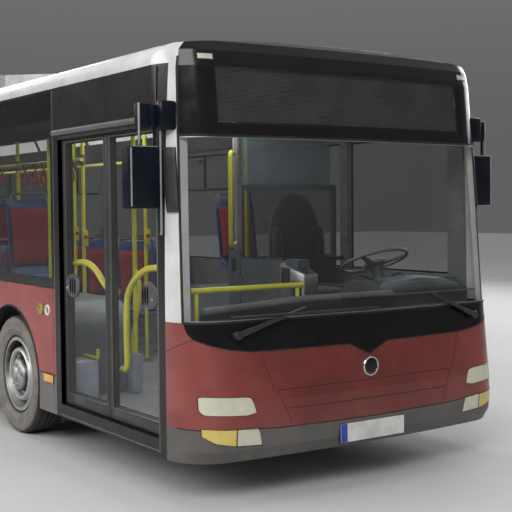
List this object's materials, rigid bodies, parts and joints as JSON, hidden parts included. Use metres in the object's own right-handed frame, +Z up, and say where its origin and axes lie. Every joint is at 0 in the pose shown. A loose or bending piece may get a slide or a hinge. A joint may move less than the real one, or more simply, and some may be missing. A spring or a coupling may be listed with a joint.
{
  "type": "low-floor city bus",
  "caption": "Full-size low-floor city bus with inward-swinging double doors, steered front wheels, twin rear wheels, a hollow glazed saloon and a roof unit.",
  "frame": {"origin": "middle of the bus's length and width, on the road", "axes": "+X forward, +Y to the bus's left, +Z up"},
  "size_m": [11.98, 2.959, 2.912],
  "materials": {
    "floor_grey": "speckled vinyl floor",
    "frame_black": "satin black",
    "body_paint": "gloss red with grey skirt and black window band",
    "white_paint": "gloss white",
    "unit_grey": "satin light grey moulding",
    "red_paint": "gloss dark red",
    "black_gloss": "gloss black",
    "bumper_grey": "satin grey moulding",
    "clear_glass": "clear laminated glass",
    "side_glass": "lightly tinted glass",
    "sign_glass": "dark pane with nothing written on it",
    "lamp_lens": "clear moulded lens",
    "black_plastic": "fine grained black moulding",
    "dash_grey": "grained grey moulding",
    "seat_fabric": "dark woven cover",
    "seat_shell": "blue moulded shell",
    "rail_yellow": "yellow powder coat",
    "axle_iron": "dark cast iron",
    "rim_steel": "bright steel",
    "tyre_rubber": "black rubber",
    "door_frame": "satin dark grey"
  },
  "bodies": {
    "body": {"floor": "floor_grey", "rear_deck": "floor_grey", "floor_boxes": "floor_grey", "underframe": "frame_black", "side_wall_left": "body_paint", "side_wall_right": "body_paint", "roof": "white_paint", "roof_unit": "unit_grey", "front_panel": "red_paint", "front_band": "black_gloss", "bumpers": "bumper_grey", "display_housing": "black_gloss", "sign_panes": "sign_glass", "windscreen": "clear_glass", "corner_pillars": "white_paint", "window_panes": "side_glass", "rear_wall": "white_paint", "lamps": "lamp_lens", "mirrors": "black_plastic", "wipers": "black_plastic", "dashboard": "dash_grey", "steering_wheel": "black_plastic", "driver_seat": "seat_fabric", "cab_partition": "dash_grey", "passenger_seats": "seat_shell", "handrails": "rail_yellow", "door_headers": "dash_grey", "front_axle": "axle_iron", "rear_axle": "axle_iron", "engine_block": "axle_iron"},
    "engine_flap": {"engine_flap": "red_paint"},
    "cab_door": {"cab_door": "dash_grey"},
    "knuckle_left": {"knuckle_left": "axle_iron"},
    "knuckle_right": {"knuckle_right": "axle_iron"},
    "tie_rod": {"tie_rod": "axle_iron"},
    "front_wheel_left": {"front_rim_left": "rim_steel", "front_tyre_left": "tyre_rubber"},
    "rear_wheels_left": {"rear_rims_left": "rim_steel", "rear_tyres_left": "tyre_rubber"},
    "front_wheel_right": {"front_rim_right": "rim_steel", "front_tyre_right": "tyre_rubber"},
    "rear_wheels_right": {"rear_rims_right": "rim_steel", "rear_tyres_right": "tyre_rubber"},
    "front_door_arm_1": {"front_door_arm_1": "frame_black"},
    "front_door_leaf_1": {"front_door_leaf_1": "door_frame", "front_door_glass_1": "clear_glass"},
    "front_door_arm_2": {"front_door_arm_2": "frame_black"},
    "front_door_leaf_2": {"front_door_leaf_2": "door_frame", "front_door_glass_2": "clear_glass"},
    "middle_door_arm_1": {"middle_door_arm_1": "frame_black"},
    "middle_door_leaf_1": {"middle_door_leaf_1": "door_frame", "middle_door_glass_1": "clear_glass"},
    "middle_door_arm_2": {"middle_door_arm_2": "frame_black"},
    "middle_door_leaf_2": {"middle_door_leaf_2": "door_frame", "middle_door_glass_2": "clear_glass"}
  },
  "joints": [
    {"name": "steering", "type": "hinge", "parent": "body", "child": "knuckle_left", "pos_m": [3.19, 0.9, 0.454], "axis": [0, 0, 1], "range_deg": [-42, 42]},
    {"name": "steering_right", "type": "hinge", "parent": "body", "child": "knuckle_right", "pos_m": [3.19, -0.9, 0.454], "axis": [0, 0, 1], "range_deg": [-42, 42]},
    {"name": "tie_rod_turn", "type": "hinge", "parent": "knuckle_left", "child": "tie_rod", "pos_m": [2.99, 0.9, 0.188], "axis": [0, 0, 1], "range_deg": [-42, 42]},
    {"name": "front_wheel_left_spin", "type": "hinge", "parent": "knuckle_left", "child": "front_wheel_left", "pos_m": [3.19, 1.0875, 0.454], "axis": [0, 1, 0], "continuous": true},
    {"name": "front_wheel_right_spin", "type": "hinge", "parent": "knuckle_right", "child": "front_wheel_right", "pos_m": [3.19, -1.0875, 0.454], "axis": [0, 1, 0], "continuous": true},
    {"name": "rear_wheels_left_spin", "type": "hinge", "parent": "body", "child": "rear_wheels_left", "pos_m": [-2.685, 0.93, 0.454], "axis": [0, 1, 0], "continuous": true},
    {"name": "rear_wheels_right_spin", "type": "hinge", "parent": "body", "child": "rear_wheels_right", "pos_m": [-2.685, -0.93, 0.454], "axis": [0, 1, 0], "continuous": true},
    {"name": "engine_flap_hinge", "type": "hinge", "parent": "body", "child": "engine_flap", "pos_m": [-5.976, 0, 1.2935], "axis": [0, 1, 0], "range_deg": [0, 80]},
    {"name": "cab_door_hinge", "type": "hinge", "parent": "body", "child": "cab_door", "pos_m": [4.285, 0.141, 0.97], "axis": [0, 0, -1], "range_deg": [0, 95]},
    {"name": "front_door", "type": "hinge", "parent": "body", "child": "front_door_arm_1", "pos_m": [5.537, -1.15, 1.3], "axis": [0, 0, -1], "range_deg": [0, 80]},
    {"name": "front_door_leaf_1_turn", "type": "hinge", "parent": "front_door_arm_1", "child": "front_door_leaf_1", "pos_m": [5.201, -1.15, 1.3], "axis": [0, 0, 1], "range_deg": [0, 160]},
    {"name": "front_door_arm_2_turn", "type": "hinge", "parent": "body", "child": "front_door_arm_2", "pos_m": [4.101, -1.15, 1.3], "axis": [0, 0, 1], "range_deg": [0, 80]},
    {"name": "front_door_leaf_2_turn", "type": "hinge", "parent": "front_door_arm_2", "child": "front_door_leaf_2", "pos_m": [4.437, -1.15, 1.3], "axis": [0, 0, -1], "range_deg": [0, 160]},
    {"name": "middle_door", "type": "hinge", "parent": "body", "child": "middle_door_arm_1", "pos_m": [0.948, -1.15, 1.3], "axis": [0, 0, -1], "range_deg": [0, 80]},
    {"name": "middle_door_leaf_1_turn", "type": "hinge", "parent": "middle_door_arm_1", "child": "middle_door_leaf_1", "pos_m": [0.612, -1.15, 1.3], "axis": [0, 0, 1], "range_deg": [0, 160]},
    {"name": "middle_door_arm_2_turn", "type": "hinge", "parent": "body", "child": "middle_door_arm_2", "pos_m": [-0.488, -1.15, 1.3], "axis": [0, 0, 1], "range_deg": [0, 80]},
    {"name": "middle_door_leaf_2_turn", "type": "hinge", "parent": "middle_door_arm_2", "child": "middle_door_leaf_2", "pos_m": [-0.152, -1.15, 1.3], "axis": [0, 0, -1], "range_deg": [0, 160]}
  ],
  "couplings": [
    {"joint": "steering_right", "follows": "steering", "ratio": 1},
    {"joint": "tie_rod_turn", "follows": "steering", "ratio": -1},
    {"joint": "front_door_leaf_1_turn", "follows": "front_door", "ratio": 2},
    {"joint": "front_door_arm_2_turn", "follows": "front_door", "ratio": 1},
    {"joint": "front_door_leaf_2_turn", "follows": "front_door", "ratio": 2},
    {"joint": "middle_door_leaf_1_turn", "follows": "middle_door", "ratio": 2},
    {"joint": "middle_door_arm_2_turn", "follows": "middle_door", "ratio": 1},
    {"joint": "middle_door_leaf_2_turn", "follows": "middle_door", "ratio": 2}
  ]
}
